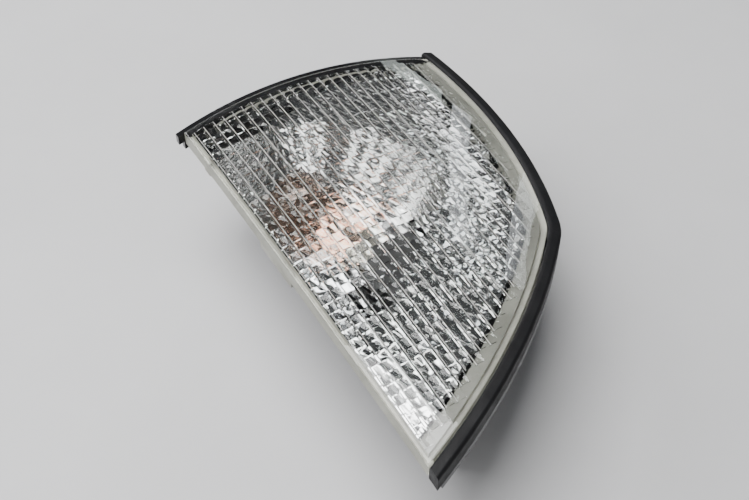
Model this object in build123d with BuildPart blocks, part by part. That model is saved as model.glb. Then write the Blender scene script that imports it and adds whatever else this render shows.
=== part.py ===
from build123d import *

import os
from math import asin, cos, hypot, pi, radians, sin, sqrt, tan

# Corner turn signal lamp: clear fluted lens, bright reflector, amber bulb, black housing.
# Millimetres, +Z up through the lens, +Y along the straight lens edge towards corner A.
# Corners of the lens outline in plan: A (-X, +Y), B (+X, +Y), C (+X, -Y), D (-X, -Y).

os.makedirs("parts", exist_ok=True)

# ---- lens outline in plan -------------------------------------------------
A = (-49.9, 73.8)
B = (46.4, 72.5)
C = (31.4, -21.0)
D = (-49.9, -75.9)
BULGE_AB = 4.7
BULGE_BC = 6.8
BULGE_CD = 5.5
CORNER_C_R = 18.0

# ---- lens surface: one large arc across X, a still larger one along Y ------
TOP = 54.0
CROWN_X = -28.1
CROWN_Y = -1.5
R_ACROSS = 241.5
R_ALONG = 1188.0

# ---- lens ------------------------------------------------------------------
LENS_T = 2.2
LENS_WALL = 2.4
SKIRT = 5.0
FLUTE_PITCH = 3.8
FLUTE_FIRST = 2.4
FLUTE_COUNT = 27
FLUTE_RISE = 0.2
MARGIN_AD = 2.4
MARGIN_BCD = 6.6

# ---- housing ---------------------------------------------------------------
WALL = 2.2
RIM_TOP = 5.6
RIM_BOTTOM = 8.0
AB_RIM = 2.4
FLANGE = 4.6
EAR_Z = 46.0
TRAY_Z = 24.0
SLANT = tan(radians(21))
SLANT_X = -49.3
SLANT_Z = 47.0
PEG_R = 4.0
PEG_L = 13.0
PEG_SHOULDER_R = 5.4
PEG_FIN = (13.0, 1.6)
PEG_TOP = TRAY_Z + 0.5
PEGS = [(-27.0, -50.0), (29.4, 1.0)]

# ---- bulb axis ---------------------------------------------------------------
YAW = 125.0
TILT = 22.0
SEAT = (-3.7, 2.2, 18.4)
U = (
    cos(radians(TILT)) * cos(radians(YAW)),
    cos(radians(TILT)) * sin(radians(YAW)),
    sin(radians(TILT)),
)
ACROSS = (sin(radians(YAW)), -cos(radians(YAW)), 0.0)
AXIS = Plane(origin=SEAT, x_dir=ACROSS, z_dir=U)
NECK_R = 12.2
BARREL_R = 11.8
BARREL_TOP = 16.0
POCKET_R = 15.6
PIN_S = 10.5
SHELL_S = 5.0


def circle_of(p, q, bulge):
    """Centre and radius of the outline arc from p to q, bulging to the left."""
    chord = hypot(q[0] - p[0], q[1] - p[1])
    r = (chord * chord / 4 + bulge * bulge) / (2 * bulge)
    nx = -(q[1] - p[1]) / chord
    ny = (q[0] - p[0]) / chord
    mx = (p[0] + q[0]) / 2
    my = (p[1] + q[1]) / 2
    return (mx - nx * (r - bulge), my - ny * (r - bulge)), r


ARC_AB = circle_of(A, B, BULGE_AB)
ARC_BC = circle_of(B, C, BULGE_BC)
ARC_CD = circle_of(C, D, BULGE_CD)


def prism(ad, ab, bcd, z0, z1):
    """Upright prism on the lens outline, each side moved out by its own amount."""
    with BuildPart() as body:
        with BuildSketch(Plane.XY.offset(z0)) as plan:
            with Locations((A[0] - ad + 100, 0)):
                Rectangle(200, 220)
            with Locations(ARC_AB[0]):
                Circle(ARC_AB[1] + ab, mode=Mode.INTERSECT)
            with Locations(ARC_BC[0]):
                Circle(ARC_BC[1] + bcd, mode=Mode.INTERSECT)
            with Locations(ARC_CD[0]):
                Circle(ARC_CD[1] + bcd, mode=Mode.INTERSECT)
            corner = plan.vertices().sort_by_distance((C[0], C[1], z0))[0]
            fillet(corner, CORNER_C_R + bcd)
        extrude(amount=z1 - z0)
    return body.part


def crown():
    """Everything under the smooth lens surface, as one thick ring of revolution."""
    z_axis = TOP - R_ALONG
    half = 95.0
    side = R_ACROSS - sqrt(R_ACROSS**2 - half**2)
    flip = 2 * z_axis
    with BuildPart() as body:
        with BuildSketch(Plane.XZ.offset(-CROWN_Y)) as section:
            with BuildLine():
                ThreePointArc(
                    (CROWN_X - half, flip - (TOP - side)),
                    (CROWN_X, flip - TOP),
                    (CROWN_X + half, flip - (TOP - side)),
                )
                Line((CROWN_X + half, flip - (TOP - side)), (CROWN_X + half, flip + 70))
                Line((CROWN_X + half, flip + 70), (CROWN_X - half, flip + 70))
                Line((CROWN_X - half, flip + 70), (CROWN_X - half, flip - (TOP - side)))
            make_face()
        revolve(axis=Axis((0, CROWN_Y, z_axis), (1, 0, 0)))
    return body.part


def fluted_crown():
    """Everything under the inner lens surface, whose section is a row of small arcs."""
    z_axis = TOP - R_ALONG
    flip = 2 * z_axis
    turn0 = asin((A[0] - CROWN_X) / R_ACROSS)
    turns = [turn0 + (FLUTE_FIRST + FLUTE_PITCH * k) / R_ACROSS for k in range(FLUTE_COUNT + 1)]

    def at(turn, lift):
        r = R_ACROSS + lift
        return (CROWN_X + r * sin(turn), flip - (TOP - R_ACROSS + r * cos(turn)))

    with BuildPart() as body:
        with BuildSketch(Plane.XZ.offset(-CROWN_Y)) as section:
            with BuildLine():
                for k in range(FLUTE_COUNT):
                    mid = (turns[k] + turns[k + 1]) / 2
                    ThreePointArc(at(turns[k], 0), at(mid, FLUTE_RISE), at(turns[k + 1], 0))
                first = at(turns[0], 0)
                last = at(turns[-1], 0)
                Line(last, (last[0], flip + 70))
                Line((last[0], flip + 70), (first[0] - 10, flip + 70))
                Line((first[0] - 10, flip + 70), (first[0] - 10, first[1]))
                Line((first[0] - 10, first[1]), first)
            make_face()
        revolve(axis=Axis((0, CROWN_Y, z_axis), (1, 0, 0)))
    return body.part


CROWN = crown()
FLUTES = fluted_crown()


def under(depth):
    """The smooth crown lowered by a depth."""
    return Pos(0, 0, -depth) * CROWN


def slant_block(inset):
    """The room to the right of the sloping AD wall, moved in by an inset."""
    x_top = SLANT_X + inset - (70 - SLANT_Z) * SLANT
    x_low = SLANT_X + inset + (SLANT_Z + 10) * SLANT
    with BuildPart() as body:
        with BuildSketch(Plane.XZ.offset(-110)) as side:
            with BuildLine():
                Polyline((x_top, 70), (x_low, -10), (90, -10), (90, 70), close=True)
            make_face()
        extrude(amount=220)
    return body.part


def seat_side(start):
    """The half of space on the bulb side of the seat plane, from a distance on."""
    with BuildPart(AXIS.offset(start)) as body:
        Box(300, 300, 150, align=(Align.CENTER, Align.CENTER, Align.MIN))
    return body.part


def both(first, second):
    """The room two solids share."""
    with BuildPart() as body:
        add(first)
        add(second, mode=Mode.INTERSECT)
    return body.part


def less(first, second):
    """The first solid without the room of the second."""
    with BuildPart() as body:
        add(first)
        add(second, mode=Mode.SUBTRACT)
    return body.part


def layer(ad, ab, bcd, top, bottom):
    """The lens outline between two depths under the crown."""
    return less(both(prism(ad, ab, bcd, 5, 80), under(top)), under(bottom))


def rod(radius, start, end):
    """A cylinder on the bulb axis between two stations."""
    with BuildPart(AXIS.offset(start)) as body:
        Cylinder(radius, end - start, align=(Align.CENTER, Align.CENTER, Align.MIN))
    return body.part


def turned(points):
    """A solid of revolution on the bulb axis from (radius, station) points."""
    with BuildPart() as body:
        with BuildSketch(Plane(origin=SEAT, x_dir=ACROSS, z_dir=AXIS.y_dir * -1)) as section:
            with BuildLine():
                Polyline(*points, close=True)
            make_face()
        revolve(axis=Axis(SEAT, U))
    return body.part


def save(body, name):
    """Label one piece and write it."""
    body.part.label = name
    export_step(body.part, "parts/" + name + ".step")


# ---- outer lens --------------------------------------------------------------
LENS_LUGS = [(11.0, 20.0), (58.0, 4.0)]
LUG_H = 5.0
LUG_DROP = 6.5
BOND_TOP = LENS_T + FLUTE_RISE + 0.15
BOND_LOW = RIM_TOP - 0.05
LENS_HOLLOW = both(
    prism(-LENS_WALL, -LENS_WALL, -LENS_WALL, 20, 70),
    Pos(0, 0, -LENS_T - FLUTE_RISE) * FLUTES,
)
with BuildPart() as outer_lens:
    add(layer(0, 0, 0, 0, SKIRT))
    add(LENS_HOLLOW, mode=Mode.SUBTRACT)
    for lug_y, lug_l in LENS_LUGS:
        with Locations((A[0] + 0.85, lug_y, TOP - LUG_DROP)):
            Box(1.5, lug_l, LUG_H)
save(outer_lens, "outer_lens")

# ---- cream bonding flange under the lens margin -------------------------------
with BuildPart() as lens_bond:
    add(layer(-LENS_WALL - 0.1, -LENS_WALL - 0.1, -LENS_WALL - 0.1, BOND_TOP, BOND_LOW))
    add(layer(-1.7, -0.3, -0.3, SKIRT + 0.05, BOND_LOW))
    add(prism(-MARGIN_AD, 20, -MARGIN_BCD, 5, 80), mode=Mode.SUBTRACT)
save(lens_bond, "lens_bond")

# ---- rubber flange strip from B round C to D ----------------------------------
with BuildPart() as flange_strip:
    add(layer(0, 3.4, FLANGE, -0.6, RIM_TOP - 0.05))
    add(prism(20, 20, 0.5, 5, 80), mode=Mode.SUBTRACT)
    tops = flange_strip.edges().filter_by(lambda e: e.length > 60).sort_by(Axis.Z)
    fillet(tops[-2:], 1.1)
save(flange_strip, "flange_strip")

# ---- housing --------------------------------------------------------------------
TRAY_OUT = both(both(prism(-0.3, -0.6, -0.6, TRAY_Z, 70), under(RIM_TOP)), slant_block(0))
BOWL_OUT = both(
    both(both(prism(-0.3, -14, -5, 0, 70), under(RIM_TOP)), slant_block(0)),
    seat_side(0),
)
with BuildPart() as tray_soft:
    add(TRAY_OUT)
    low = tray_soft.edges().group_by(Axis.Z)[0]
    fillet(low, 2.0)
TRAY_OUT = tray_soft.part
with BuildPart() as bowl_soft:
    add(BOWL_OUT)
    low = bowl_soft.faces().sort_by(Axis.Z)[0].edges()
    fillet(low, 1.8)
BOWL_OUT = bowl_soft.part
TRAY_IN = both(prism(-2.5, -2.8, -2.8, TRAY_Z + WALL, 70), slant_block(2.2))
BOWL_IN = both(
    both(prism(-2.5, -16.2, -7.2, 3.4, 70), slant_block(2.2)),
    seat_side(2.5),
)
AB_WALL = less(
    less(both(prism(2.4, AB_RIM, 0.3, 5, 80), under(0.8)), under(RIM_BOTTOM)),
    prism(20, 0.4, 20, 5, 80),
)
with BuildPart() as under_ear:
    with Locations((A[0] - 5.3, A[1], EAR_Z - 10)):
        Box(10, 20, 20)
AB_WALL = less(AB_WALL, under_ear.part)
AB_LEDGE = less(layer(-2.6, -2.0, -2.6, RIM_TOP, 7.6), prism(20, -5.0, 20, 5, 80))
POCKET_ROOF = both(both(rod(POCKET_R + WALL, -34, 2.5), TRAY_OUT), prism(-1, -1, -1, TRAY_Z, 70))
RIBS = [(-32.0, -36.6, 9.4), (-44.0, -36.6, -4.6), (-58.0, -36.6, -22.6)]
BOSSES = [(11.4, 38.0), (-18.6, 53.0)]
TAB_X = -5.1
LEAF_X = 17.4
VENT_X = 33.4
with BuildPart() as housing_raw:
    add(TRAY_OUT)
    add(BOWL_OUT)
    add(both(layer(-0.3, AB_RIM, FLANGE, RIM_TOP, RIM_BOTTOM), slant_block(0)))
    add(TRAY_IN, mode=Mode.SUBTRACT)
    add(BOWL_IN, mode=Mode.SUBTRACT)
    add(AB_WALL)
    add(AB_LEDGE)
    add(POCKET_ROOF)
    add(rod(POCKET_R, -70, 0), mode=Mode.SUBTRACT)
    add(rod(NECK_R, -1, 3), mode=Mode.SUBTRACT)
    with Locations(AXIS):
        for turn in (40, 220):
            with Locations(Location((0, 0, 1), (0, 0, turn))):
                with Locations((12.6, 0, 0)):
                    Box(3.8, 6.6, 6, mode=Mode.SUBTRACT)
    with Locations(*[(x, y, 0) for x, y in PEGS]):
        Cylinder(PEG_R, PEG_L, align=(Align.CENTER, Align.CENTER, Align.MIN))
        with Locations((0, 0, PEG_L)):
            Cylinder(PEG_SHOULDER_R, PEG_TOP - PEG_L, align=(Align.CENTER, Align.CENTER, Align.MIN))
            for fin_x, fin_y in (PEG_FIN, PEG_FIN[::-1]):
                Box(fin_x, fin_y, PEG_TOP - PEG_L, align=(Align.CENTER, Align.CENTER, Align.MIN))
    for y, x0, x1 in RIBS:
        with Locations(((x0 + x1) / 2, y, TRAY_Z - 2.25)):
            Box(x1 - x0, 1.6, 4.5)
    with BuildSketch(Plane.XZ.offset(-77.0)) as tab:
        with Locations((TAB_X, 16)):
            Circle(8)
        with Locations((TAB_X, 21)):
            Rectangle(16, 10)
        with Locations((TAB_X, 16)):
            Circle(2.75, mode=Mode.SUBTRACT)
    extrude(amount=2.6)
    for x, y in BOSSES:
        with Locations((x, y, 0)):
            Cylinder(3.7, 2.0, align=(Align.CENTER, Align.CENTER, Align.MIN), mode=Mode.SUBTRACT)
            Cylinder(1.6, 5.0, align=(Align.CENTER, Align.CENTER, Align.MIN), mode=Mode.SUBTRACT)
    with Locations(Location((VENT_X, 64.0, 12), (90, 0, 0))):
        Cylinder(3.0, 10)
        Cylinder(1.6, 30, mode=Mode.SUBTRACT)
    with Locations(Location((LEAF_X, 58.0, 14), (90, 0, 0))):
        Cylinder(1.6, 12, mode=Mode.SUBTRACT)
    for lug_y, lug_l in LENS_LUGS:
        with Locations((A[0] - 0.7, lug_y, TOP - LUG_DROP)):
            Box(5.0, lug_l + 0.6, LUG_H + 1.0, mode=Mode.SUBTRACT)
with BuildPart() as housing:
    add(housing_raw.part.solids().sort_by(SortBy.VOLUME)[-1])
save(housing, "housing")

# ---- reflector --------------------------------------------------------------------
BOWL_X = -22.6
BOWL_Y = 26.0
BOWL_Z = 10.0
BOWL_F4 = 67.6
SHELF = 13.0


def bowl(z_low):
    """Everything inside an upright paraboloid bowl."""
    reach = 80.0
    rise = reach * reach / BOWL_F4
    with BuildPart() as body:
        with BuildSketch(Plane(origin=(BOWL_X, BOWL_Y, 0), x_dir=(1, 0, 0), z_dir=(0, -1, 0))) as cut:
            with BuildLine():
                Bezier((0, z_low), (reach / 2, z_low), (reach, z_low + rise))
                Line((reach, z_low + rise), (0, z_low + rise))
                Line((0, z_low + rise), (0, z_low))
            make_face()
        revolve(axis=Axis((BOWL_X, BOWL_Y, 0), (0, 0, 1)))
    return body.part


REFL_OUT = both(both(prism(-3.6, -5.5, -8.4, 5, 70), under(5.2)), slant_block(2.6))
REFL_IN = both(prism(-4.8, -6.7, -9.6, 5, 80), slant_block(3.8))
with BuildPart() as reflector:
    add(less(REFL_OUT, under(SHELF + 1.4)))
    add(both(both(REFL_OUT, bowl(BOWL_Z - 1.8)), seat_side(4.0)))
    with Locations(*[(x, y, 3.6) for x, y in BOSSES]):
        Cylinder(3.0, 26.0, align=(Align.CENTER, Align.CENTER, Align.MIN))
    add(less(REFL_IN, under(SHELF)), mode=Mode.SUBTRACT)
    add(both(both(REFL_IN, bowl(BOWL_Z)), seat_side(5.4)), mode=Mode.SUBTRACT)
    with Locations(*[(x, y, 3.6) for x, y in BOSSES]):
        Cylinder(1.25, 7.5, align=(Align.CENTER, Align.CENTER, Align.MIN), mode=Mode.SUBTRACT)
    add(rod(15.2, -4, 22), mode=Mode.SUBTRACT)
save(reflector, "reflector")

# ---- reflector screws ---------------------------------------------------------------
for index, (x, y) in enumerate(BOSSES):
    with BuildPart() as reflector_screw:
        with BuildSketch(Plane(origin=(x, y, 0), x_dir=(1, 0, 0), z_dir=(0, -1, 0))) as half:
            with BuildLine():
                Polyline(
                    (0, 1.1), (1.1, 0.2), (2.2, 0.2), (3.1, 0.9), (3.1, 1.95),
                    (1.45, 1.95), (1.45, 3.4), (1.2, 3.7), (1.2, 10.0), (0, 10.9),
                    close=True,
                )
            make_face()
        revolve(axis=Axis((x, y, 0), (0, 0, 1)))
    save(reflector_screw, "reflector_screw_" + "ab"[index])

# ---- bulb holder ----------------------------------------------------------------------
REAR = -14.0
with BuildPart(AXIS) as bulb_holder:
    with Locations((0, 0, REAR)):
        Cylinder(11.0, 10.0, align=(Align.CENTER, Align.CENTER, Align.MIN))
        Box(27.0, 3.6, 9.9, align=(Align.CENTER, Align.CENTER, Align.MIN))
    for side in (-1, 1):
        with Locations((side * 13.2, 0, REAR)):
            Cylinder(1.8, 9.9, align=(Align.CENTER, Align.CENTER, Align.MIN))
    with Locations((0, 0, -4.2)):
        Cylinder(14.0, 2.9, align=(Align.CENTER, Align.CENTER, Align.MIN))
    with Locations((0, 0, -1.4)):
        Cylinder(BARREL_R, BARREL_TOP + 1.4, align=(Align.CENTER, Align.CENTER, Align.MIN))
    for side in (-1, 1):
        with Locations((side * 12.4, 0, 2.7)):
            Box(3.2, 5.6, 2.5, align=(Align.CENTER, Align.CENTER, Align.MIN))
    with Locations((0, 0, 2.4)):
        Cylinder(9.4, 20, align=(Align.CENTER, Align.CENTER, Align.MIN), mode=Mode.SUBTRACT)
    with Locations((0, 0, -6.5)):
        Cylinder(3.8, 12, align=(Align.CENTER, Align.CENTER, Align.MIN), mode=Mode.SUBTRACT)
    with Locations((0, 0, REAR)):
        Box(17.0, 9.5, 5.7, align=(Align.CENTER, Align.CENTER, Align.MIN), mode=Mode.SUBTRACT)
    with Locations((0, 0, REAR)):
        Box(5.0, 12.5, 5.0, align=(Align.CENTER, Align.CENTER, Align.MIN), mode=Mode.SUBTRACT)
    for side in (-1, 1):
        with Locations((side * 4.6, 0, REAR + 5)):
            Box(0.9, 4.9, 9.0, align=(Align.CENTER, Align.CENTER, Align.MIN), mode=Mode.SUBTRACT)
save(bulb_holder, "bulb_holder")

# ---- holder seal ------------------------------------------------------------------------
with BuildPart() as holder_seal:
    add(turned([(12.3, -1.25), (13.6, -1.25), (13.9, -0.9), (13.9, -0.4), (13.6, -0.08), (12.3, -0.08)]))
save(holder_seal, "holder_seal")

# ---- terminals ----------------------------------------------------------------------------
for index, side in enumerate((-1, 1)):
    with BuildPart(AXIS) as terminal:
        with Locations((side * 4.6, 0, -12.4)):
            Box(0.8, 4.8, 12.2, align=(Align.CENTER, Align.CENTER, Align.MIN))
        ends = terminal.faces().sort_by(Axis(SEAT, U))[0].edges().filter_by(lambda e: e.length > 2)
        chamfer(ends, 0.3)
        with Locations(Location((side * 4.6, 0, -10.2), (0, 90, 0))):
            Cylinder(0.8, 3, mode=Mode.SUBTRACT)
    save(terminal, "terminal_" + "ab"[index])

# ---- earth sleeve with its bayonet slots ------------------------------------------------------
SLOT_LOW = 7.2
SLOT_HIGH = 9.8
with BuildPart() as earth_sleeve:
    add(turned([(7.62, 2.45), (9.3, 2.45), (9.3, 3.3), (8.3, 3.3), (8.3, 15.6), (7.62, 15.6)]))
    for start in (90, 270):
        ray0 = Plane(AXIS.location * Location((0, 0, 0), (0, 0, start - 9.4))).x_dir
        swing = Plane(origin=SEAT, x_dir=ray0, z_dir=ray0.cross(Vector(*U)))
        with BuildSketch(swing) as slot:
            with Locations((8.2, (SLOT_LOW + SLOT_HIGH) / 2)):
                Rectangle(2.4, SLOT_HIGH - SLOT_LOW)
        revolve(axis=Axis(SEAT, U), revolution_arc=58.8, mode=Mode.SUBTRACT)
        for turn, top in ((start, 11.8), (start + 40, 17.0)):
            notch = Plane(AXIS.location * Location((0, 0, SLOT_LOW), (0, 0, turn)))
            with BuildSketch(notch) as foot:
                with Locations((8.2, 0)):
                    Rectangle(2.4, 2.6)
            extrude(amount=top - SLOT_LOW, mode=Mode.SUBTRACT)
save(earth_sleeve, "earth_sleeve")

# ---- contact plunger and its spring -------------------------------------------------------------
PLUNGER = [
    (0, -3.9), (1.1, -3.9), (1.4, -3.6), (1.4, -0.2),
    (3.7, -0.2), (3.7, 2.7), (3.2, 3.35), (0, 3.35),
]
with BuildPart() as contact_plunger:
    add(turned(PLUNGER))
save(contact_plunger, "contact_plunger")

with BuildPart() as contact_spring:
    coil = Helix(pitch=1.3, height=5.3, radius=2.6, center=AXIS.offset(-6.0).origin, direction=U)
    with BuildSketch(Plane(origin=coil @ 0, z_dir=coil % 0)) as wire:
        Circle(0.32)
    sweep(path=coil, is_frenet=True)
save(contact_spring, "contact_spring")

# ---- bulb ------------------------------------------------------------------------------------------
with BuildPart(AXIS) as bulb_base:
    with Locations((0, 0, SHELL_S)):
        Cylinder(7.5, 17.0, align=(Align.CENTER, Align.CENTER, Align.MIN))
    with Locations((0, 0, SHELL_S + 15.2)):
        Cylinder(7.9, 1.2, align=(Align.CENTER, Align.CENTER, Align.MIN))
    with Locations((0, 0, SHELL_S + 0.6)):
        Cylinder(7.1, 30, align=(Align.CENTER, Align.CENTER, Align.MIN), mode=Mode.SUBTRACT)
    with Locations((0, 0, SHELL_S - 1)):
        Cylinder(3.2, 3, align=(Align.CENTER, Align.CENTER, Align.MIN), mode=Mode.SUBTRACT)
    with Locations(Location((0, 0, PIN_S), (90, 0, 0))):
        Cylinder(1.02, 30, mode=Mode.SUBTRACT)
save(bulb_base, "bulb_base")

for index, side in enumerate((-1, 1)):
    with BuildPart(AXIS) as bulb_pin:
        with Locations(Location((0, side * 7.6, PIN_S), (90, 0, 0))):
            Cylinder(1.0, 2.0)
    save(bulb_pin, "bulb_pin_" + "ab"[index])

with BuildPart() as bulb_insulator:
    add(turned([(0, 4.5), (3.0, 4.5), (6.9, 4.97), (3.15, 4.97), (3.15, 5.9), (0, 5.9)]))
save(bulb_insulator, "bulb_insulator")

with BuildPart() as bulb_contact:
    add(turned([(0, 3.4), (1.6, 3.4), (2.3, 3.8), (2.3, 4.45), (0, 4.45)]))
save(bulb_contact, "bulb_contact")

GLASS_R = 12.0
GLASS_MID = 43.6
RADIAL = Plane(origin=SEAT, x_dir=ACROSS, z_dir=AXIS.y_dir * -1)
with BuildPart() as bulb_glass:
    with BuildSketch(RADIAL) as wall:
        with BuildLine():
            Line((6.9, 19.2), (6.9, 23.6))
            Spline((6.9, 23.6), (9.9, 31.0), (GLASS_R, GLASS_MID), tangents=[(0, 1), (0, 1)])
            ThreePointArc(
                (GLASS_R, GLASS_MID),
                (GLASS_R * sin(pi / 4), GLASS_MID + GLASS_R * cos(pi / 4)),
                (0, GLASS_MID + GLASS_R),
            )
            Line((0, GLASS_MID + GLASS_R), (0, GLASS_MID + GLASS_R - 0.8))
            inner = GLASS_R - 0.8
            ThreePointArc(
                (0, GLASS_MID + inner),
                (inner * sin(pi / 4), GLASS_MID + inner * cos(pi / 4)),
                (inner, GLASS_MID),
            )
            Spline((inner, GLASS_MID), (9.1, 31.1), (6.1, 23.6), tangents=[(0, -1), (0, -1)])
            Line((6.1, 23.6), (6.1, 19.2))
            Line((6.1, 19.2), (6.9, 19.2))
        make_face()
    revolve(axis=Axis(SEAT, U))
save(bulb_glass, "bulb_glass")

with BuildPart() as bulb_stem:
    add(turned([(0, 19.3), (5.9, 19.3), (5.9, 20.4), (3.0, 21.6), (2.6, 33.0), (0, 33.4)]))
save(bulb_stem, "bulb_stem")

for index, side in enumerate((-1, 1)):
    with BuildPart() as lead_wire:
        with BuildLine(RADIAL) as run:
            Polyline((side * 2.0, 33.3), (side * 3.9, 38.0), (side * 3.9, 42.2))
        with BuildSketch(Plane(origin=run.line @ 0, z_dir=run.line % 0)) as wire:
            Circle(0.22)
        sweep(transition=Transition.ROUND)
    save(lead_wire, "lead_wire_" + "ab"[index])

with BuildPart() as filament:
    start = AXIS.from_local_coords(Vector(-3.2, 0, 42.3))
    coil = Helix(pitch=0.8, height=6.4, radius=0.7, center=start, direction=ACROSS)
    with BuildSketch(Plane(origin=coil @ 0, z_dir=coil % 0)) as wire:
        Circle(0.16)
    sweep(path=coil, is_frenet=True)
save(filament, "filament")

# ---- steel retaining spring on the AB side ---------------------------------------------------------
BOWL_WALL_Y = ARC_AB[0][1] + sqrt((ARC_AB[1] - 14) ** 2 - (LEAF_X - ARC_AB[0][0]) ** 2)
LEAF_W = 9.0
with BuildPart() as spring_plate:
    with BuildSketch(Plane.YZ.offset(LEAF_X - LEAF_W / 2)) as side_view:
        with Locations((BOWL_WALL_Y + 1.05, 13.5)):
            Rectangle(0.9, 13.0)
    extrude(amount=LEAF_W)
    with Locations(Location((LEAF_X, BOWL_WALL_Y, 14), (90, 0, 0))):
        Cylinder(1.65, 6, mode=Mode.SUBTRACT)
save(spring_plate, "spring_plate")

with BuildPart() as spring_rivet:
    with BuildSketch(Plane(origin=(LEAF_X, 0, 14), x_dir=(0, 1, 0), z_dir=(1, 0, 0))) as half:
        with BuildLine():
            y0 = BOWL_WALL_Y
            Polyline(
                (y0 - 4.2, 0), (y0 - 4.2, 2.2), (y0 - 2.75, 2.8), (y0 - 2.75, 1.5),
                (y0 + 1.55, 1.5), (y0 + 1.55, 3.0), (y0 + 2.2, 2.2), (y0 + 2.6, 0),
                close=True,
            )
        make_face()
    revolve(axis=Axis((LEAF_X, 0, 14), (0, 1, 0)))
save(spring_rivet, "spring_rivet")

with BuildPart() as spring_leaf:
    with BuildSketch(Plane.YZ.offset(LEAF_X - LEAF_W / 2)) as side_view:
        with BuildLine() as mid_line:
            y0 = BOWL_WALL_Y + 0.4
            Polyline(
                (y0 + 0.7, 6.3), (y0 + 1.3, 4.4), (y0 + 2.6, 3.9), (y0 + 4.0, 4.6),
                (y0 + 9.6, 15.4), (y0 + 9.8, 17.2), (y0 + 7.2, 21.8),
            )
            offset(amount=0.42, side=Side.BOTH)
        make_face()
    extrude(amount=LEAF_W)
save(spring_leaf, "spring_leaf")

# ---- vent cap ---------------------------------------------------------------------------------------
with BuildPart() as vent_cap:
    with Locations(Location((VENT_X, 68.3, 12), (90, 0, 0))):
        Cylinder(4.6, 6.4)
        Cylinder(4.0, 8.4)
    with Locations(Location((VENT_X, 66.6, 12), (90, 0, 0))):
        Cylinder(3.05, 5.0, mode=Mode.SUBTRACT)
    with Locations((VENT_X, 68.0, 8.0)):
        Box(2.0, 3.0, 6.0, mode=Mode.SUBTRACT)
save(vent_cap, "vent_cap")
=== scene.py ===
"""Looks of the corner turn signal lamp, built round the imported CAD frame. Metres, +Z up."""

import math

import bmesh
import bpy
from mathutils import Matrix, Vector


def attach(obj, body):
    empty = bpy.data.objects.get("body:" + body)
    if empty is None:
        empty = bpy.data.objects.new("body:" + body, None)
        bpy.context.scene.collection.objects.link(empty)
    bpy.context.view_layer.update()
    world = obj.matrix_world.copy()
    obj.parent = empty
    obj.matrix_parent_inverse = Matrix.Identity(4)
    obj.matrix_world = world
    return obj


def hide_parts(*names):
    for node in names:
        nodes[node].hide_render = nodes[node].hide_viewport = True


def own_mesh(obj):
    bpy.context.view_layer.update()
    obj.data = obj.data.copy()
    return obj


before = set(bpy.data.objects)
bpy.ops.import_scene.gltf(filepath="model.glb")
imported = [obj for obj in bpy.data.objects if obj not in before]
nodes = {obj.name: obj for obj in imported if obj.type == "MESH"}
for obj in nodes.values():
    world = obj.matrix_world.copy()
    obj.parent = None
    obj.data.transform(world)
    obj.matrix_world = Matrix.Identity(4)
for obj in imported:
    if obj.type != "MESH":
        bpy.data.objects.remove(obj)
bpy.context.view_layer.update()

MM = 0.001

# ---------------------------------------------------------------- lens geometry
# The same driving dimensions as the CAD lens, in millimetres.
A = (-49.9, 73.8)
B = (46.4, 72.5)
C = (31.4, -21.0)
D = (-49.9, -75.9)
BULGE_AB = 4.7
BULGE_BC = 6.8
BULGE_CD = 5.5
CORNER_R = 18.0
TOP = 54.0
CROWN = (-28.1, -1.5)
R_ACROSS = 241.5
R_ALONG = 1188.0
LENS_T = 2.2
LENS_WALL = 2.4
SKIRT = 5.0

# ---------------------------------------------------------------- optics
# Columns run along Y with a ridge between them; rows cross them. Edges are (AD, AB, BCD).
FLUTE_FIRST = 2.4
FLUTE_PITCH = 3.8
FLUTE_COUNT = 27
ROW_PITCH = 3.72
ROW_FIRST = D[1] - 2.0
ROW_COUNT = 43
RIB = 0.22
RIB_EDGE = 0.036
RIB_RISE = 0.34
FLUTE_SAG = 0.12
ROW_SAG = 0.10
CELL_SINK = 0.05
CELL_TILT = 0.18
CELL_EDGE = 0.07
CELL_STEPS = (0.0, CELL_EDGE, 0.35, 0.65, 1 - CELL_EDGE)
OPTIC_EDGE = (-2.3, -1.6, -2.6)

# ---------------------------------------------------------------- edges, lip and lugs
AB_WALL = 1.6
FOOT = 0.8
BEVEL_IN = 0.13
BEVEL_DOWN = 0.14
SHOULDER = 0.5
CROWN_EDGE = 0.45
CROWN_STEP = (5.0, 6.0)
LIP_END = -3.2
LIP_END_B = -9.0
LIP_OUT = -2.7
LIP_IN = -5.42
LIP_TOP = 5.25
LIP_LOW = 5.55
LIP_STEPS = 48
LUGS = ((11.0, 20.0), (58.0, 4.0))
LUG_T = 1.5
LUG_H = 5.0
LUG_DROP = 6.5
LUG_ROUND = 0.3


def circle_of(p, q, bulge):
    """Centre and radius of the arc from p to q that bulges to the left."""
    chord = math.dist(p, q)
    r = (chord * chord / 4 + bulge * bulge) / (2 * bulge)
    nx, ny = -(q[1] - p[1]) / chord, (q[0] - p[0]) / chord
    return ((p[0] + q[0]) / 2 - nx * (r - bulge), (p[1] + q[1]) / 2 - ny * (r - bulge)), r


def meet(c1, r1, c2, r2, near):
    """The crossing of two circles nearest to a point."""
    d = math.dist(c1, c2)
    a = (r1 * r1 - r2 * r2 + d * d) / (2 * d)
    h = math.sqrt(max(r1 * r1 - a * a, 0))
    ex, ey = (c2[0] - c1[0]) / d, (c2[1] - c1[1]) / d
    both = [(c1[0] + a * ex - s * h * ey, c1[1] + a * ey + s * h * ex) for s in (1, -1)]
    return min(both, key=lambda p: math.dist(p, near))


AB = circle_of(A, B, BULGE_AB)
BC = circle_of(B, C, BULGE_BC)
CD = circle_of(C, D, BULGE_CD)
CORNER = meet(BC[0], BC[1] - CORNER_R, CD[0], CD[1] - CORNER_R, C)


def towards(c, r, p):
    """The point at distance r from c, in the direction of p."""
    d = math.dist(c, p)
    return (c[0] + (p[0] - c[0]) * r / d, c[1] + (p[1] - c[1]) * r / d)


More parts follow.
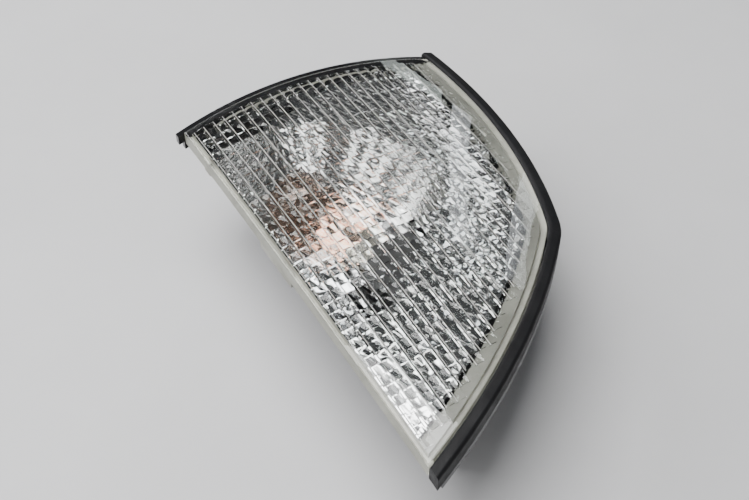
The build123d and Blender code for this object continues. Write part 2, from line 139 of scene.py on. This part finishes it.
def outline(ad, ab, bcd):
    """Five boundary pieces, each a function of 0..1, with the sides moved out by ad, ab and bcd."""
    x = A[0] - ad
    a = (x, AB[0][1] + math.sqrt((AB[1] + ab) ** 2 - (x - AB[0][0]) ** 2))
    d = (x, CD[0][1] - math.sqrt((CD[1] + bcd) ** 2 - (x - CD[0][0]) ** 2))
    b = meet(AB[0], AB[1] + ab, BC[0], BC[1] + bcd, B)
    t1 = towards(BC[0], BC[1] + bcd, CORNER)
    t2 = towards(CD[0], CD[1] + bcd, CORNER)

    def arc(c, p, q):
        r = math.dist(c, p)
        s, e = math.atan2(p[1] - c[1], p[0] - c[0]), math.atan2(q[1] - c[1], q[0] - c[0])
        return lambda u: (c[0] + r * math.cos(s + (e - s) * u), c[1] + r * math.sin(s + (e - s) * u))

    return [
        arc(AB[0], a, b),
        arc(BC[0], b, t1),
        arc(CORNER, t1, t2),
        arc(CD[0], t2, d),
        lambda u: (d[0] + (a[0] - d[0]) * u, d[1] + (a[1] - d[1]) * u),
    ]


def crown_z(x, y):
    """Height of the lens's outer surface."""
    across = math.sqrt(R_ACROSS**2 - (x - CROWN[0]) ** 2) - R_ACROSS
    r = R_ALONG + across
    return TOP - R_ALONG + math.sqrt(r * r - (y - CROWN[1]) ** 2)


def arc_x(length):
    """Plan x at a distance along the crown from edge AD."""
    turn0 = math.asin((A[0] - CROWN[0]) / R_ACROSS)
    return CROWN[0] + R_ACROSS * math.sin(turn0 + length / R_ACROSS)


# ---------------------------------------------------------------- mesh helpers
def crossings(curve, axis, value, n=64, halvings=40):
    """Where a boundary piece crosses the line x or y = value, as parameters."""
    got = []
    prev = curve(0.0)[axis] - value
    for i in range(1, n + 1):
        now = curve(i / n)[axis] - value
        if prev * now < 0:
            lo, hi, flo = (i - 1) / n, i / n, prev
            for _ in range(halvings):
                mid = (lo + hi) / 2
                f = curve(mid)[axis] - value
                if f * flo > 0:
                    lo, flo = mid, f
                else:
                    hi = mid
            got.append((lo + hi) / 2)
        prev = now
    return got


def clip(poly, axis, value, keep_above):
    """A convex polygon cut by the line x or y = value."""
    out = []
    for i, p in enumerate(poly):
        q = poly[(i + 1) % len(poly)]
        dp, dq = p[axis] - value, q[axis] - value
        if not keep_above:
            dp, dq = -dp, -dq
        if dp >= 0:
            out.append(p)
        if dp * dq < 0:
            t = dp / (dp - dq)
            out.append((p[0] + (q[0] - p[0]) * t, p[1] + (q[1] - p[1]) * t))
    return out


def side_span(strip, x):
    """Lowest and highest y of a strip's corners at x, or None where it has none."""
    at_x = [p[1] for p in strip if abs(p[0] - x) < 1e-6]
    return (min(at_x), max(at_x)) if at_x else None


def fill(poly, xs, ys):
    """Faces of a grid cut to a convex polygon, as lists of plan points."""
    faces = []
    for x0, x1 in zip(xs, xs[1:]):
        strip = clip(clip(poly, 0, x0, True), 0, x1, False)
        if len(strip) < 3:
            continue
        low, high = min(p[1] for p in strip), max(p[1] for p in strip)
        spans = [side_span(strip, x) or (high, low) for x in (x0, x1)]
        inner_low = max(span[0] for span in spans)
        inner_high = min(span[1] for span in spans)
        for y0, y1 in zip(ys, ys[1:]):
            if y1 <= low or y0 >= high:
                continue
            if y0 >= inner_low and y1 <= inner_high:
                faces.append([(x0, y0), (x1, y0), (x1, y1), (x0, y1)])
                continue
            cell = clip(clip(strip, 1, y0, True), 1, y1, False)
            if len(cell) >= 3:
                faces.append(cell)
    return faces


def new_object(name, bm, material, body="lamp"):
    """Makes the mesh an object that rides on a CAD body."""
    mesh = bpy.data.meshes.new(name)
    bm.to_mesh(mesh)
    bm.free()
    obj = bpy.data.objects.new(name, mesh)
    bpy.context.scene.collection.objects.link(obj)
    obj.data.materials.append(material)
    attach(obj, body)
    return obj


def smooth(mesh, degrees=30):
    """Smooth shading, with edges sharper than the angle kept crisp."""
    mesh.polygons.foreach_set("use_smooth", [True] * len(mesh.polygons))
    mesh.set_sharp_from_angle(angle=math.radians(degrees))


# ---------------------------------------------------------------- materials
def material(name):
    """A new node material, its tree and its shader."""
    m = bpy.data.materials.new(name)
    m.use_nodes = True
    tree = m.node_tree
    shader = tree.nodes["Principled BSDF"]
    return m, tree, shader


def noise(tree, scale, detail=4.0, rough=0.6, stretch=None):
    """A noise texture in object space; scale is in features per metre."""
    coord = tree.nodes.new("ShaderNodeTexCoord")
    tex = tree.nodes.new("ShaderNodeTexNoise")
    tex.inputs["Scale"].default_value = scale
    tex.inputs["Detail"].default_value = detail
    tex.inputs["Roughness"].default_value = rough
    if stretch:
        mapping = tree.nodes.new("ShaderNodeMapping")
        mapping.inputs["Scale"].default_value = stretch
        tree.links.new(coord.outputs["Object"], mapping.inputs["Vector"])
        tree.links.new(mapping.outputs["Vector"], tex.inputs["Vector"])
    else:
        tree.links.new(coord.outputs["Object"], tex.inputs["Vector"])
    return tex


def ramp(tree, source, stops):
    """A colour ramp; stops are (position, value or colour)."""
    node = tree.nodes.new("ShaderNodeValToRGB")
    while len(node.color_ramp.elements) < len(stops):
        node.color_ramp.elements.new(0.5)
    for element, (place, value) in zip(node.color_ramp.elements, stops):
        element.position = place
        colour = value if isinstance(value, tuple) else (value,) * 3
        element.color = (*colour[:3], 1.0)
    tree.links.new(source, node.inputs["Fac"])
    return node


def bump(tree, shader, height, strength, distance):
    """Small relief from a height texture; distance is in metres."""
    node = tree.nodes.new("ShaderNodeBump")
    node.inputs["Strength"].default_value = strength
    node.inputs["Distance"].default_value = distance
    tree.links.new(height, node.inputs["Height"])
    tree.links.new(node.outputs["Normal"], shader.inputs["Normal"])
    return node


def finish_material(name, dark, light, scale, rough, metallic=0.0, grain=None, stretch=None,
                    coat=0.0, specular=None):
    """A mottled surface: colour from dark to light, roughness from rough[0] to rough[1]."""
    m, tree, shader = material(name)
    tex = noise(tree, scale, stretch=stretch)
    colour = ramp(tree, tex.outputs["Fac"], [(0.35, dark), (0.68, light)])
    tree.links.new(colour.outputs["Color"], shader.inputs["Base Color"])
    wear = noise(tree, scale * 2.7, detail=6.0, rough=0.7, stretch=stretch)
    gloss = ramp(tree, wear.outputs["Fac"], [(0.35, rough[0]), (0.7, rough[1])])
    tree.links.new(gloss.outputs["Color"], shader.inputs["Roughness"])
    shader.inputs["Metallic"].default_value = metallic
    if coat:
        shader.inputs["Coat Weight"].default_value = coat
    if specular is not None:
        shader.inputs["Specular IOR Level"].default_value = specular
    if grain:
        fine = noise(tree, grain[0], detail=3.0)
        bump(tree, shader, fine.outputs["Fac"], grain[1], grain[2])
    return m


def glass_material(name, colour, ior, rough, spots):
    """A clear moulding with faint flow marks, dust and a slightly uneven surface."""
    m, tree, shader = material(name)
    shader.inputs["Transmission Weight"].default_value = 1.0
    shader.inputs["IOR"].default_value = ior
    tint = noise(tree, 18.0, detail=2.0)
    shade = ramp(tree, tint.outputs["Fac"], [(0.3, colour[0]), (0.7, colour[1])])
    tree.links.new(shade.outputs["Color"], shader.inputs["Base Color"])
    dust = noise(tree, spots, detail=8.0, rough=0.75)
    haze = ramp(tree, dust.outputs["Fac"], [(0.52, rough[0]), (0.75, rough[1])])
    tree.links.new(haze.outputs["Color"], shader.inputs["Roughness"])
    waves = noise(tree, 90.0, detail=2.0)
    bump(tree, shader, waves.outputs["Fac"], 0.06, 0.0002)
    return m


CLEAR = glass_material("clear_lens", ((0.96, 0.975, 0.96), (0.985, 0.99, 0.985)), 1.5, (0.0, 0.10), 420.0)
AMBER = glass_material("amber_glass", ((0.92, 0.77, 0.69), (0.95, 0.82, 0.75)), 1.5, (0.02, 0.16), 300.0)
STEM = glass_material("stem_glass", ((0.9, 0.93, 0.92), (0.96, 0.97, 0.96)), 1.5, (0.0, 0.1), 500.0)
CREAM = finish_material("bond_cream", (0.075, 0.075, 0.063), (0.125, 0.125, 0.107), 60.0, (0.35, 0.6),
                        grain=(900.0, 0.25, 0.0002))
LEG = finish_material("lens_leg", (0.26, 0.26, 0.22), (0.38, 0.38, 0.33), 90.0, (0.4, 0.6),
                      grain=(1200.0, 0.3, 0.0002))
# Pale opaque colour for the sides of each ridge: painted highlight lines standing in for the glints on
# the clear ribs
RIB_PAINTED_HIGHLIGHT = finish_material("lens_ridge_painted_highlight", (0.32, 0.32, 0.31), (0.52, 0.52, 0.50), 150.0, (0.15, 0.35),
                        grain=(1200.0, 0.2, 0.0001))
CHROME = finish_material("reflector_chrome", (0.86, 0.87, 0.88), (0.93, 0.93, 0.94), 25.0,
                         (0.03, 0.09), metallic=1.0, grain=(70.0, 0.03, 0.0004))
BLACK = finish_material("housing_black", (0.008, 0.008, 0.009), (0.016, 0.016, 0.017), 40.0,
                        (0.12, 0.32), grain=(1600.0, 0.15, 0.00012), specular=0.35)
HOLDER = finish_material("holder_black", (0.010, 0.010, 0.010), (0.020, 0.020, 0.021), 70.0,
                         (0.3, 0.5), grain=(2200.0, 0.25, 0.0001))
RUBBER = finish_material("strip_rubber", (0.004, 0.004, 0.005), (0.010, 0.010, 0.011), 55.0,
                         (0.45, 0.7), grain=(1300.0, 0.35, 0.00015), specular=0.2)
SEAL = finish_material("seal_rubber", (0.02, 0.02, 0.02), (0.04, 0.04, 0.04), 80.0, (0.5, 0.75),
                       grain=(1500.0, 0.3, 0.0001))
STEEL = finish_material("screw_steel", (0.50, 0.50, 0.52), (0.66, 0.66, 0.67), 120.0, (0.22, 0.45),
                        metallic=1.0, grain=(2500.0, 0.15, 0.00005))
NICKEL = finish_material("base_nickel", (0.66, 0.62, 0.54), (0.82, 0.79, 0.72), 110.0, (0.14, 0.35),
                         metallic=1.0, grain=(1200.0, 0.1, 0.00008), stretch=(1, 1, 4))
BRASS = finish_material("terminal_brass", (0.62, 0.44, 0.18), (0.82, 0.64, 0.32), 130.0,
                        (0.2, 0.42), metallic=1.0, grain=(1500.0, 0.12, 0.00005))
CLIP = finish_material("clip_steel", (0.22, 0.22, 0.23), (0.36, 0.36, 0.37), 150.0, (0.3, 0.55),
                       metallic=1.0, grain=(2000.0, 0.2, 0.00006))
ALU = finish_material("rivet_aluminium", (0.70, 0.70, 0.71), (0.83, 0.83, 0.84), 160.0,
                      (0.25, 0.45), metallic=1.0, grain=(2200.0, 0.15, 0.00005))
TUNGSTEN = finish_material("tungsten", (0.20, 0.20, 0.20), (0.34, 0.33, 0.32), 900.0, (0.3, 0.5),
                           metallic=1.0)
VITRITE = finish_material("vitrite_black", (0.008, 0.008, 0.012), (0.02, 0.02, 0.03), 200.0,
                          (0.08, 0.2))
SOLDER = finish_material("solder", (0.46, 0.46, 0.47), (0.62, 0.62, 0.63), 500.0, (0.3, 0.5),
                         metallic=1.0, grain=(1800.0, 0.3, 0.0001))

NODE_MATERIALS = {
    "lens_bond": CREAM, "flange_strip": RUBBER, "housing": BLACK, "reflector": CHROME,
    "reflector_screw_a": STEEL, "reflector_screw_b": STEEL, "bulb_holder": HOLDER,
    "holder_seal": SEAL, "terminal_a": BRASS, "terminal_b": BRASS, "earth_sleeve": NICKEL,
    "contact_plunger": BRASS, "contact_spring": STEEL, "bulb_base": NICKEL,
    "bulb_pin_a": NICKEL, "bulb_pin_b": NICKEL, "bulb_insulator": VITRITE,
    "bulb_contact": SOLDER, "bulb_glass": AMBER, "bulb_stem": STEM, "lead_wire_a": STEEL,
    "lead_wire_b": STEEL, "filament": TUNGSTEN, "spring_plate": CLIP, "spring_leaf": CLIP,
    "spring_rivet": ALU, "vent_cap": SEAL,
}
for name, mat in NODE_MATERIALS.items():
    node = nodes[name]
    node.data.materials.clear()
    node.data.materials.append(mat)
    smooth(node.data, 28)
nodes["bulb_glass"].visible_shadow = False
nodes["bulb_stem"].visible_shadow = False

# ---------------------------------------------------------------- outer lens
columns = [0.0, RIB_EDGE, RIB - RIB_EDGE]
columns += [RIB + (1 - RIB) * w for w in CELL_STEPS]
lens_xs = [arc_x(FLUTE_FIRST + FLUTE_PITCH * (k + t)) for k in range(FLUTE_COUNT) for t in columns]
lens_xs = [A[0] - 1.0, *lens_xs]
lens_ys = [ROW_FIRST + ROW_PITCH * (j + v) for j in range(ROW_COUNT) for v in CELL_STEPS]
lens_ys.append(ROW_FIRST + ROW_PITCH * ROW_COUNT)


def within(p, ad, ab, bcd):
    """Whether a point is inside the outline with its sides moved out by these amounts."""
    return (
        p[0] >= A[0] - ad - 1e-6
        and math.dist(p, AB[0]) <= AB[1] + ab
        and math.dist(p, BC[0]) <= BC[1] + bcd
        and math.dist(p, CD[0]) <= CD[1] + bcd
    )


def cell_of(x, y):
    """Column and row of the optics at a point, and the place inside them from 0 to 1."""
    turn0 = math.asin((A[0] - CROWN[0]) / R_ACROSS)
    along = (math.asin((x - CROWN[0]) / R_ACROSS) - turn0) * R_ACROSS
    across = (along - FLUTE_FIRST) / FLUTE_PITCH + 1e-6
    up = (y - ROW_FIRST) / ROW_PITCH + 1e-6
    return math.floor(across), math.floor(up), across % 1.0, up % 1.0


ACTIVE = set()
for column in range(FLUTE_COUNT):
    x0, x1 = (arc_x(FLUTE_FIRST + FLUTE_PITCH * (column + t)) for t in (0, 1))
    for row in range(ROW_COUNT):
        y0, y1 = ROW_FIRST + ROW_PITCH * row, ROW_FIRST + ROW_PITCH * (row + 1)
        lower = all(within(p, *OPTIC_EDGE) for p in ((x0, y0), (x1, y0)))
        upper = all(within(p, OPTIC_EDGE[0], ROW_PITCH, OPTIC_EDGE[2]) for p in ((x0, y1), (x1, y1)))
        if lower and upper:
            ACTIVE.add((column, row))


def flute_depth(x, y):
    """How far the inner surface of the lens lies under its outer surface."""
    column, row, t, v = cell_of(x, y)
    if (column, row) not in ACTIVE:
        return LENS_T
    if t <= RIB:
        return LENS_T + RIB_RISE * min(1.0, t / RIB_EDGE, (RIB - t) / RIB_EDGE)
    w = (t - RIB) / (1 - RIB)
    margin = min(w, 1 - w, v, 1 - v) / CELL_EDGE
    if margin < 0.5:
        return LENS_T
    lean = math.sin(12.9 * column + 4.7 * row), math.sin(7.3 * column + 15.1 * row)
    pillow = FLUTE_SAG * 4 * w * (1 - w) + ROW_SAG * 4 * v * (1 - v)
    return LENS_T + CELL_SINK + pillow + CELL_TILT * (lean[0] * (w - 0.5) + lean[1] * (v - 0.5))


def build_lens():
    """The lens as one closed mesh: smooth crown, rounded edge, skirt, and cells on its inner face."""
    clear, cream, black, ridge = range(4)
    wall = (-LENS_WALL, -AB_WALL, -LENS_WALL)
    inner = outline(*wall)
    top_xs = [A[0] - 1 + CROWN_STEP[0] * i for i in range(24)]
    top_ys = [D[1] - 4 + CROWN_STEP[1] * i for i in range(30)]
    edge = outline(-CROWN_EDGE, -CROWN_EDGE, -CROWN_EDGE)
    samples = []
    for k in range(5):
        got = {round(i / 24, 7) for i in range(25)}
        for curve, xs, ys in ((inner[k], lens_xs, lens_ys), (edge[k], top_xs, top_ys)):
            for axis, values in ((0, xs), (1, ys)):
                for v in values:
                    got.update(round(u, 7) for u in crossings(curve, axis, v))
        samples.append(sorted(got))

    def ring(curves):
        return [curves[k](u) for k in range(5) for u in samples[k][:-1]]

    bm = bmesh.new()

    def put(p, z):
        return bm.verts.new((p[0] * MM, p[1] * MM, z * MM))

    def on_ridge_side(face):
        middle = [sum(p[k] for p in face) / len(face) for k in (0, 1)]
        column, row, t, _ = cell_of(*middle)
        return (column, row) in ACTIVE and (t < RIB_EDGE or RIB - RIB_EDGE < t < RIB)

    def sheet(poly, xs, ys, height, flip):
        for face in fill(poly, xs, ys):
            vs = [put(p, height(*p)) for p in face]
            made = bm.faces.new(vs[::-1] if flip else vs)
            # The ridge sides take the pale opaque material, which paints the rib glints in as highlight
            # lines
            if flip and on_ridge_side(face):
                made.material_index = ridge

    edge_ring, inner_ring = ring(edge), ring(inner)
    sheet(edge_ring[::-1], top_xs, top_ys, crown_z, False)
    sheet(inner_ring[::-1], lens_xs, lens_ys, lambda x, y: crown_z(x, y) - flute_depth(x, y), True)

    loops = [(edge_ring, [crown_z(*p) for p in edge_ring])]
    flush = (0.0, 0.0, 0.0)
    bevel = (-BEVEL_IN, -BEVEL_IN, -BEVEL_IN)
    steps = (
        (bevel, BEVEL_DOWN), (flush, SHOULDER), (flush, SKIRT), (wall, SKIRT), (wall, SKIRT - FOOT),
    )
    for moved, depth in steps:
        r = ring(outline(*moved))
        loops.append((r, [crown_z(*p) - depth for p in r]))
    loops.append((inner_ring, [crown_z(*p) - flute_depth(*p) for p in inner_ring]))
    n = len(edge_ring)
    ab_count = len(samples[0]) - 1
    ad_start = n - len(samples[4]) + 1
    bands = ("bevel", "shoulder", "skirt", "underside", "foot", "inner_wall")
    for band, (r0, z0), (r1, z1) in zip(bands, loops, loops[1:]):
        v0 = [put(p, z) for p, z in zip(r0, z0)]
        v1 = [put(p, z) for p, z in zip(r1, z1)]
        for i in range(n):
            j = (i + 1) % n
            face = bm.faces.new((v0[i], v0[j], v1[j], v1[i]))
            along_ab = i < ab_count
            if band == "underside" and along_ab:
                face.material_index = black
            elif (
                band in ("underside", "foot")
                or (band == "skirt" and i >= ad_start)
                or (band == "inner_wall" and not along_ab)
            ):
                face.material_index = cream
            else:
                face.material_index = clear
    bmesh.ops.remove_doubles(bm, verts=bm.verts, dist=4e-6)
    bmesh.ops.dissolve_degenerate(bm, edges=bm.edges, dist=1e-6)
    bmesh.ops.recalc_face_normals(bm, faces=bm.faces)
    lens = new_object("lens_optics", bm, CLEAR)
    for extra in (LEG, BLACK, RIB_PAINTED_HIGHLIGHT):
        lens.data.materials.append(extra)
    smooth(lens.data, 13)
    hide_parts("outer_lens")
    lens.visible_shadow = False


def build_lug(name, y, length):
    """A small bevelled tongue hanging below the long straight edge of the lens."""
    bm = bmesh.new()
    bmesh.ops.create_cube(bm, size=1.0)
    middle = Vector((A[0] + 0.1 + LUG_T / 2, y, TOP - LUG_DROP)) * MM
    for v in bm.verts:
        v.co = middle + Vector((v.co.x * LUG_T, v.co.y * length, v.co.z * LUG_H)) * MM
    bmesh.ops.bevel(bm, geom=bm.edges[:], offset=LUG_ROUND * MM, segments=2, profile=0.5, affect="EDGES")
    lug = new_object(name, bm, LEG)
    smooth(lug.data, 30)


def build_lip():
    """The reflector's thin bright lip, lying on the housing's ledge along AB."""
    outer = outline(LIP_END, LIP_OUT, LIP_END_B)[0]
    inner = outline(LIP_END, LIP_IN, LIP_END_B)[0]
    bm = bmesh.new()
    rings = []
    for i in range(LIP_STEPS + 1):
        ring = []
        for curve, depth in ((outer, LIP_TOP), (inner, LIP_TOP), (inner, LIP_LOW), (outer, LIP_LOW)):
            x, y = curve(i / LIP_STEPS)
            ring.append(bm.verts.new((x * MM, y * MM, (crown_z(x, y) - depth) * MM)))
        rings.append(ring)
    for first, second in zip(rings, rings[1:]):
        for k in range(4):
            bm.faces.new((first[k], first[(k + 1) % 4], second[(k + 1) % 4], second[k]))
    bm.faces.new(rings[0][::-1])
    bm.faces.new(rings[-1])
    bmesh.ops.recalc_face_normals(bm, faces=bm.faces)
    lip = new_object("reflector_lip", bm, CHROME)
    smooth(lip.data, 30)


build_lens()
build_lip()
for tag, (lug_y, lug_length) in zip("ab", LUGS):
    build_lug("lens_lug_" + tag, lug_y, lug_length)

# ---------------------------------------------------------------- contact spring
# The coil lies along the bulb axis, from its foot in the holder, and is copied into a mesh of its own.
bm = bmesh.new()
bm.from_mesh(nodes["contact_spring"].data)
bm.transform(nodes["contact_spring"].matrix_world)
contact_coil = new_object("contact_coil", bm, STEEL, "holder")
smooth(contact_coil.data, 28)
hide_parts("contact_spring")
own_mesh(contact_coil)

# ---------------------------------------------------------------- floor, light, camera
LIGHT_AIM = Vector((0, 0, 0.03))
AZIMUTH, ELEVATION, FOV = -31.5, 50.0, 33.0
CAMERA_PLACE = Vector((-153.5, -217.2, 349.6)) * MM
SENSOR = 36.0

m_floor, tree, shader = material("floor")
speck = noise(tree, 9.0, detail=8.0, rough=0.65)
floor_colour = ramp(tree, speck.outputs["Fac"], [(0.3, (0.60, 0.60, 0.61)), (0.7, (0.66, 0.66, 0.67))])
tree.links.new(floor_colour.outputs["Color"], shader.inputs["Base Color"])
shader.inputs["Roughness"].default_value = 0.55
bpy.ops.mesh.primitive_plane_add(size=6.0, location=(0, 0, 0))
floor = bpy.context.object
floor.name = "floor"
floor.data.materials.append(m_floor)


def area(name, place, size, power, colour=(1, 1, 1)):
    """A rectangular soft light that faces the lamp."""
    light = bpy.data.lights.new(name, "AREA")
    light.shape = "RECTANGLE"
    light.size, light.size_y = size
    light.energy = power
    light.color = colour
    obj = bpy.data.objects.new(name, light)
    obj.location = place
    obj.rotation_euler = (LIGHT_AIM - Vector(place)).to_track_quat("-Z", "Y").to_euler()
    bpy.context.scene.collection.objects.link(obj)


def panes(name, place, count, size, spacing, power, colour=(1, 1, 1)):
    """A window: a row of equal upright panes with gaps between them."""
    across = Vector((-place[1], place[0], 0)).normalized()
    for i in range(count):
        shift = across * spacing * (i - (count - 1) / 2)
        area(f"{name}_{i}", Vector(place) + shift, size, power / count, colour)


area("key", (-0.15, 0.20, 1.0), (0.75, 0.75), 16)
area("window", (0.82, 0.89, 0.42), (0.2, 0.06), 0.12, (0.90, 1.0, 0.95))
area("sky_left", (-0.55, 0.75, 0.70), (0.6, 0.5), 7)
panes("sky_right", (0.80, 0.59, 0.60), 2, (0.04, 0.5), 0.14, 0.4, (0.93, 0.97, 1.0))
panes("side", (-1.0, 0.38, 0.42), 4, (0.10, 0.5), 0.22, 2.6)
panes("left", (-0.95, -0.30, 0.75), 3, (0.12, 0.5), 0.26, 2.6)
panes("fill", (-0.2, -0.9, 0.8), 3, (0.06, 0.4), 0.22, 1.2)

world = bpy.data.worlds.new("world")
bpy.context.scene.world = world
world.use_nodes = True
world.node_tree.nodes["Background"].inputs["Color"].default_value = (0.75, 0.77, 0.80, 1)
world.node_tree.nodes["Background"].inputs["Strength"].default_value = 0.07

camera_data = bpy.data.cameras.new("camera")
camera = bpy.data.objects.new("camera", camera_data)
bpy.context.scene.collection.objects.link(camera)
camera_data.sensor_width = SENSOR
camera_data.lens = SENSOR / 2 / math.tan(math.radians(FOV / 2))
camera_data.clip_start = 0.01
camera.location = CAMERA_PLACE
turn, drop = math.radians(AZIMUTH), math.radians(ELEVATION)
aim = Vector((-math.sin(turn) * math.cos(drop), math.cos(turn) * math.cos(drop), -math.sin(drop)))
camera.rotation_euler = aim.to_track_quat("-Z", "Y").to_euler()
bpy.context.scene.camera = camera
